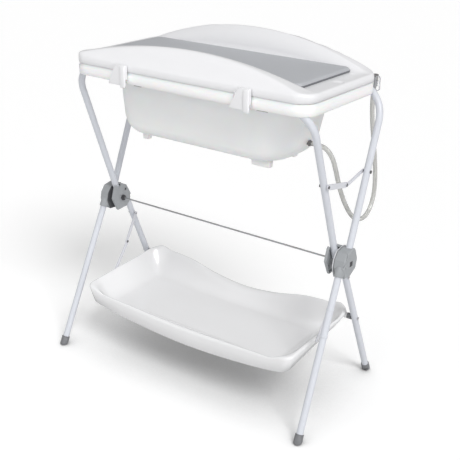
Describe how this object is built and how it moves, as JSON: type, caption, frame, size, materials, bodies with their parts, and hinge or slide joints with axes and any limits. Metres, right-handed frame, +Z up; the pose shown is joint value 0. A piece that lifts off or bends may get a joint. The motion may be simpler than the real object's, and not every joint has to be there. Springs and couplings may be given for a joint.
{
  "type": "folding changing table with bath",
  "caption": "Folding X-frame changing table that carries a baby bath under a lift-up changing top with a mat, with a drain hose at one end and a fold-up storage shelf below.",
  "frame": {"origin": "on the floor, under the middle of the frame", "axes": "+X along the long side towards the drain end, -Y towards the front where the latches are, +Z up"},
  "size_m": [0.888, 0.4945, 0.9911],
  "materials": {
    "frame_tube": "smooth satin white powder coat",
    "foot_rubber": "matt grey moulded rubber",
    "hub_plastic": "fine-textured grey moulded plastic",
    "liner_plastic": "smooth white plastic",
    "plated_steel": "bright zinc plate",
    "stay_steel": "satin white paint on pressed strip",
    "shelf_plastic": "smooth moulded white plastic",
    "bath_plastic": "slightly translucent warm white moulded plastic",
    "drain_plastic": "dark grey moulded plastic",
    "hose_vinyl": "translucent grey vinyl",
    "clear_plastic": "clear moulded plastic",
    "top_plastic": "smooth moulded white plastic",
    "mat_foam": "soft grey wipe-clean foam skin"
  },
  "bodies": {
    "outer_frame": {"outer_upper_frame": "frame_tube", "front_leg_right": "frame_tube", "front_leg_left": "frame_tube", "front_foot_right": "foot_rubber", "front_foot_left": "foot_rubber", "outer_hub_right": "hub_plastic", "outer_hub_left": "hub_plastic", "hub_liner_right": "liner_plastic", "hub_liner_left": "liner_plastic", "pivot_bolt_right": "plated_steel", "pivot_bolt_left": "plated_steel", "tie_rod": "plated_steel", "outer_hub_screws": "plated_steel", "lock_stay_rear_pin": "plated_steel"},
    "inner_frame": {"inner_upper_frame": "frame_tube", "rear_leg_right": "frame_tube", "rear_leg_left": "frame_tube", "rear_foot_right": "foot_rubber", "rear_foot_left": "foot_rubber", "inner_hub_right": "hub_plastic", "inner_hub_left": "hub_plastic", "inner_hub_screws": "plated_steel", "lock_stay_front_pin": "plated_steel", "shelf_stay_top_pin_right": "plated_steel", "shelf_stay_top_pin_left": "plated_steel", "shelf_pivot_pin_right": "plated_steel", "shelf_pivot_pin_left": "plated_steel"},
    "lock_link_front": {"lock_stay_front": "stay_steel", "lock_stay_rivet": "plated_steel"},
    "lock_link_rear": {"lock_stay_rear": "stay_steel"},
    "shelf": {"shelf_tray": "shelf_plastic", "shelf_bush_right": "hub_plastic", "shelf_bush_left": "hub_plastic", "shelf_stay_low_pin_right": "plated_steel", "shelf_stay_low_pin_left": "plated_steel"},
    "stay_upper_right": {"shelf_stay_upper_right": "stay_steel", "shelf_stay_rivet_right": "plated_steel"},
    "stay_upper_left": {"shelf_stay_upper_left": "stay_steel", "shelf_stay_rivet_left": "plated_steel"},
    "stay_lower_right": {"shelf_stay_lower_right": "stay_steel"},
    "stay_lower_left": {"shelf_stay_lower_left": "stay_steel"},
    "bath": {"bathtub": "bath_plastic", "bath_floor": "bath_plastic", "drain_outlet": "bath_plastic", "drain_nut": "bath_plastic", "drain_hose": "hose_vinyl", "hose_cap": "drain_plastic", "hose_holder": "clear_plastic", "hinge_pins": "plated_steel", "latch_pins": "plated_steel"},
    "plug": {"drain_plug": "drain_plastic"},
    "top": {"changing_top": "top_plastic", "changing_mat": "mat_foam"},
    "front_latch_right": {"latch_right": "top_plastic"},
    "front_latch_left": {"latch_left": "top_plastic"}
  },
  "joints": [
    {"name": "bath_lift", "type": "slide", "parent": "outer_frame", "child": "bath", "axis": [0, 0, 1], "range_m": [0, 1.12]},
    {"name": "frame_fold", "type": "hinge", "parent": "outer_frame", "child": "inner_frame", "pos_m": [0, 0, 0.44], "axis": [-1, 0, 0], "range_deg": [0, 38]},
    {"name": "lock_front_turn", "type": "hinge", "parent": "inner_frame", "child": "lock_link_front", "pos_m": [0.3985, -0.08768, 0.671], "axis": [-1, 0, 0], "range_deg": [0, 25.2]},
    {"name": "lock_rear_turn", "type": "hinge", "parent": "outer_frame", "child": "lock_link_rear", "pos_m": [0.4015, 0.08768, 0.671], "axis": [1, 0, 0], "range_deg": [0, 85.2]},
    {"name": "shelf_fold", "type": "hinge", "parent": "inner_frame", "child": "shelf", "pos_m": [0, 0.12983, 0.213], "axis": [-1, 0, 0], "range_deg": [0, 52]},
    {"name": "stay_upper_turn_right", "type": "hinge", "parent": "inner_frame", "child": "stay_upper_right", "pos_m": [0.3735, 0.05902, 0.369], "axis": [1, 0, 0], "range_deg": [0, 47.1]},
    {"name": "stay_lower_turn_right", "type": "hinge", "parent": "shelf", "child": "stay_lower_right", "pos_m": [0.3707, -0.045, 0.209], "axis": [-1, 0, 0], "range_deg": [0, 46.6]},
    {"name": "stay_upper_turn_left", "type": "hinge", "parent": "inner_frame", "child": "stay_upper_left", "pos_m": [-0.3735, 0.05902, 0.369], "axis": [1, 0, 0], "range_deg": [0, 47.1]},
    {"name": "stay_lower_turn_left", "type": "hinge", "parent": "shelf", "child": "stay_lower_left", "pos_m": [-0.3707, -0.045, 0.209], "axis": [-1, 0, 0], "range_deg": [0, 46.6]},
    {"name": "top_tilt", "type": "hinge", "parent": "bath", "child": "top", "pos_m": [0, 0.19187, 0.8928], "axis": [-1, 0, 0], "range_deg": [0, 85]},
    {"name": "latch_turn_right", "type": "hinge", "parent": "bath", "child": "front_latch_right", "pos_m": [0.2, -0.19034, 0.8678], "axis": [1, 0, 0], "range_deg": [0, 60]},
    {"name": "latch_turn_left", "type": "hinge", "parent": "bath", "child": "front_latch_left", "pos_m": [-0.2, -0.19034, 0.8678], "axis": [1, 0, 0], "range_deg": [0, 60]},
    {"name": "plug_pull", "type": "slide", "parent": "bath", "child": "plug", "axis": [-1, 0, 0], "range_m": [0, 0.06]}
  ],
  "couplings": [
    {"joint": "frame_fold", "follows": "bath_lift", "rad_per_m": 0.5921},
    {"joint": "lock_front_turn", "follows": "bath_lift", "rad_per_m": 0.3914},
    {"joint": "lock_rear_turn", "follows": "bath_lift", "rad_per_m": 1.3267},
    {"joint": "stay_upper_turn_right", "follows": "shelf_fold", "ratio": 0.904},
    {"joint": "stay_lower_turn_right", "follows": "shelf_fold", "ratio": 0.894},
    {"joint": "stay_upper_turn_left", "follows": "shelf_fold", "ratio": 0.904},
    {"joint": "stay_lower_turn_left", "follows": "shelf_fold", "ratio": 0.894}
  ]
}
